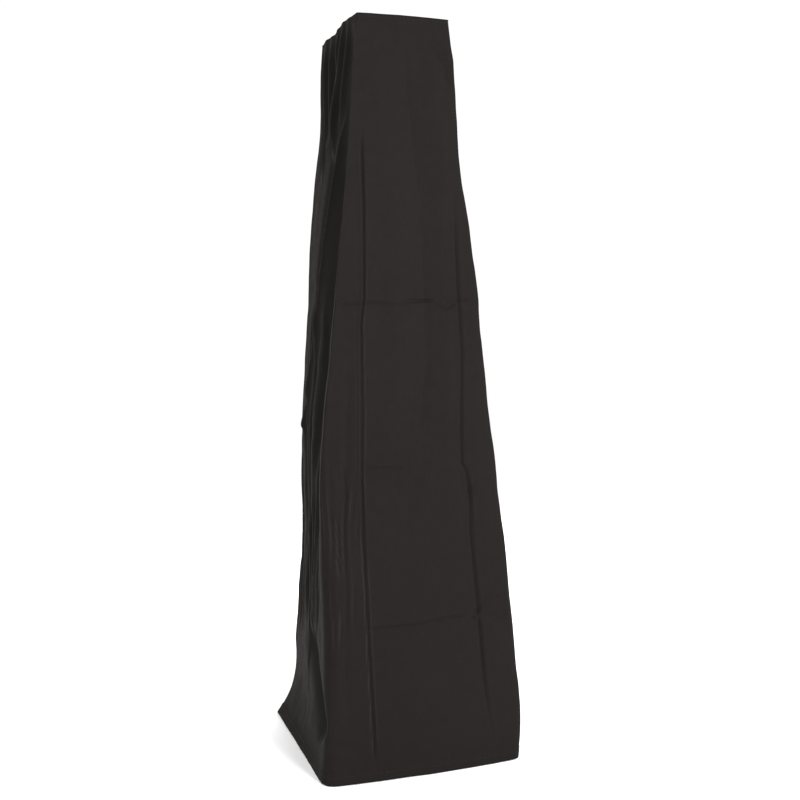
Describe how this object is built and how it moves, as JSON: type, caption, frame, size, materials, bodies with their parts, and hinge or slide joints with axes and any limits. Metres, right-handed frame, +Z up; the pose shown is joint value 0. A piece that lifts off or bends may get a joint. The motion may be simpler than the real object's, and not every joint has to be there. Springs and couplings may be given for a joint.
{
  "type": "covered pyramid patio heater",
  "caption": "Tall pyramid gas patio heater with a glass flame tube and a gas cylinder cabinet, standing under its fitted fabric cover.",
  "frame": {"origin": "on the ground, under the middle of the heater", "axes": "+Z up, -Y out of the front panel and controls, +X to the right of someone facing the front"},
  "size_m": [0.6154, 0.6154, 2.24],
  "materials": {
    "cover_cloth": "matte woven polyester, charcoal",
    "black_steel": "black powder coat",
    "stainless": "brushed stainless steel",
    "galvanised": "zinc plated steel",
    "chrome_wire": "chromed wire",
    "clear_glass": "clear quartz glass",
    "brass": "machined brass",
    "black_rubber": "matte rubber",
    "silicone": "soft silicone",
    "black_plastic": "fine moulded grain",
    "red_plastic": "gloss red",
    "cylinder_paint": "grey gloss enamel",
    "ceramic": "glazed white ceramic"
  },
  "bodies": {
    "heater": {"lower_post_front_left": "black_steel", "lower_post_front_right": "black_steel", "lower_post_back_left": "black_steel", "lower_post_back_right": "black_steel", "upper_post_front_left": "black_steel", "upper_post_front_right": "black_steel", "upper_post_back_left": "black_steel", "upper_post_back_right": "black_steel", "base_tray": "black_steel", "left_panel": "black_steel", "right_panel": "black_steel", "back_panel": "black_steel", "burner_deck": "black_steel", "burner_box": "black_steel", "tube_plate": "black_steel", "upper_plate": "black_steel", "control_fascia": "stainless", "burner_can": "stainless", "burner_screen": "stainless", "pilot_burner": "stainless", "tube_collar": "stainless", "flame_screen": "stainless", "hood": "stainless", "axle_carrier": "galvanised", "wheel_axle": "galvanised", "front_foot_rail": "galvanised", "hood_stand": "galvanised", "gas_regulator": "galvanised", "front_guard": "chrome_wire", "right_guard": "chrome_wire", "back_guard": "chrome_wire", "left_guard": "chrome_wire", "glass_tube": "clear_glass", "gas_valve": "brass", "thermocouple": "brass", "burner_gas_pipe": "brass", "cylinder_valve": "brass", "foot_pad_left": "black_rubber", "foot_pad_right": "black_rubber", "gas_hose": "black_rubber", "tube_seat": "silicone", "igniter_body": "black_plastic", "tilt_switch": "black_plastic", "gas_cylinder": "cylinder_paint", "cylinder_collar": "cylinder_paint", "spark_electrode": "ceramic"},
    "cover": {"cover_front_panel": "cover_cloth", "cover_back_panel": "cover_cloth", "cover_left_panel": "cover_cloth", "cover_right_panel": "cover_cloth", "cover_top_panel": "cover_cloth", "cover_hem": "cover_cloth"},
    "front_panel": {"front_panel": "black_steel", "front_panel_handle": "stainless"},
    "valve_stem": {"valve_stem": "stainless"},
    "control_knob": {"control_knob": "black_plastic"},
    "igniter_button": {"igniter_button": "red_plastic"},
    "wheel_left": {"wheel_left": "black_rubber"},
    "wheel_right": {"wheel_right": "black_rubber"},
    "cylinder_handwheel": {"cylinder_handwheel": "black_plastic"}
  },
  "joints": [
    {"name": "cover_lift", "type": "slide", "parent": "heater", "child": "cover", "axis": [0, 0, 1], "range_m": [0, 2.26]},
    {"name": "front_panel_lift", "type": "slide", "parent": "heater", "child": "front_panel", "axis": [0, 0.0677, 0.9977], "range_m": [0, 0.018]},
    {"name": "knob_push", "type": "slide", "parent": "heater", "child": "valve_stem", "axis": [0, 0.9977, -0.0677], "range_m": [0, 0.0035], "stiffness_N_per_m": 800},
    {"name": "knob_turn", "type": "hinge", "parent": "valve_stem", "child": "control_knob", "pos_m": [-0.035, -0.1995, 0.828], "axis": [0, -0.9977, 0.0677], "range_deg": [0, 180]},
    {"name": "igniter_press", "type": "slide", "parent": "heater", "child": "igniter_button", "axis": [0, 0.9977, -0.0677], "range_m": [0, 0.005], "stiffness_N_per_m": 600},
    {"name": "wheel_left_roll", "type": "hinge", "parent": "heater", "child": "wheel_left", "pos_m": [-0.2, 0.205, 0.04], "axis": [1, 0, 0], "continuous": true},
    {"name": "wheel_right_roll", "type": "hinge", "parent": "heater", "child": "wheel_right", "pos_m": [0.2, 0.205, 0.04], "axis": [1, 0, 0], "continuous": true},
    {"name": "handwheel_turn", "type": "hinge", "parent": "heater", "child": "cylinder_handwheel", "pos_m": [0, 0, 0.63], "axis": [0, 0, 1], "range_deg": [0, 540]}
  ]
}
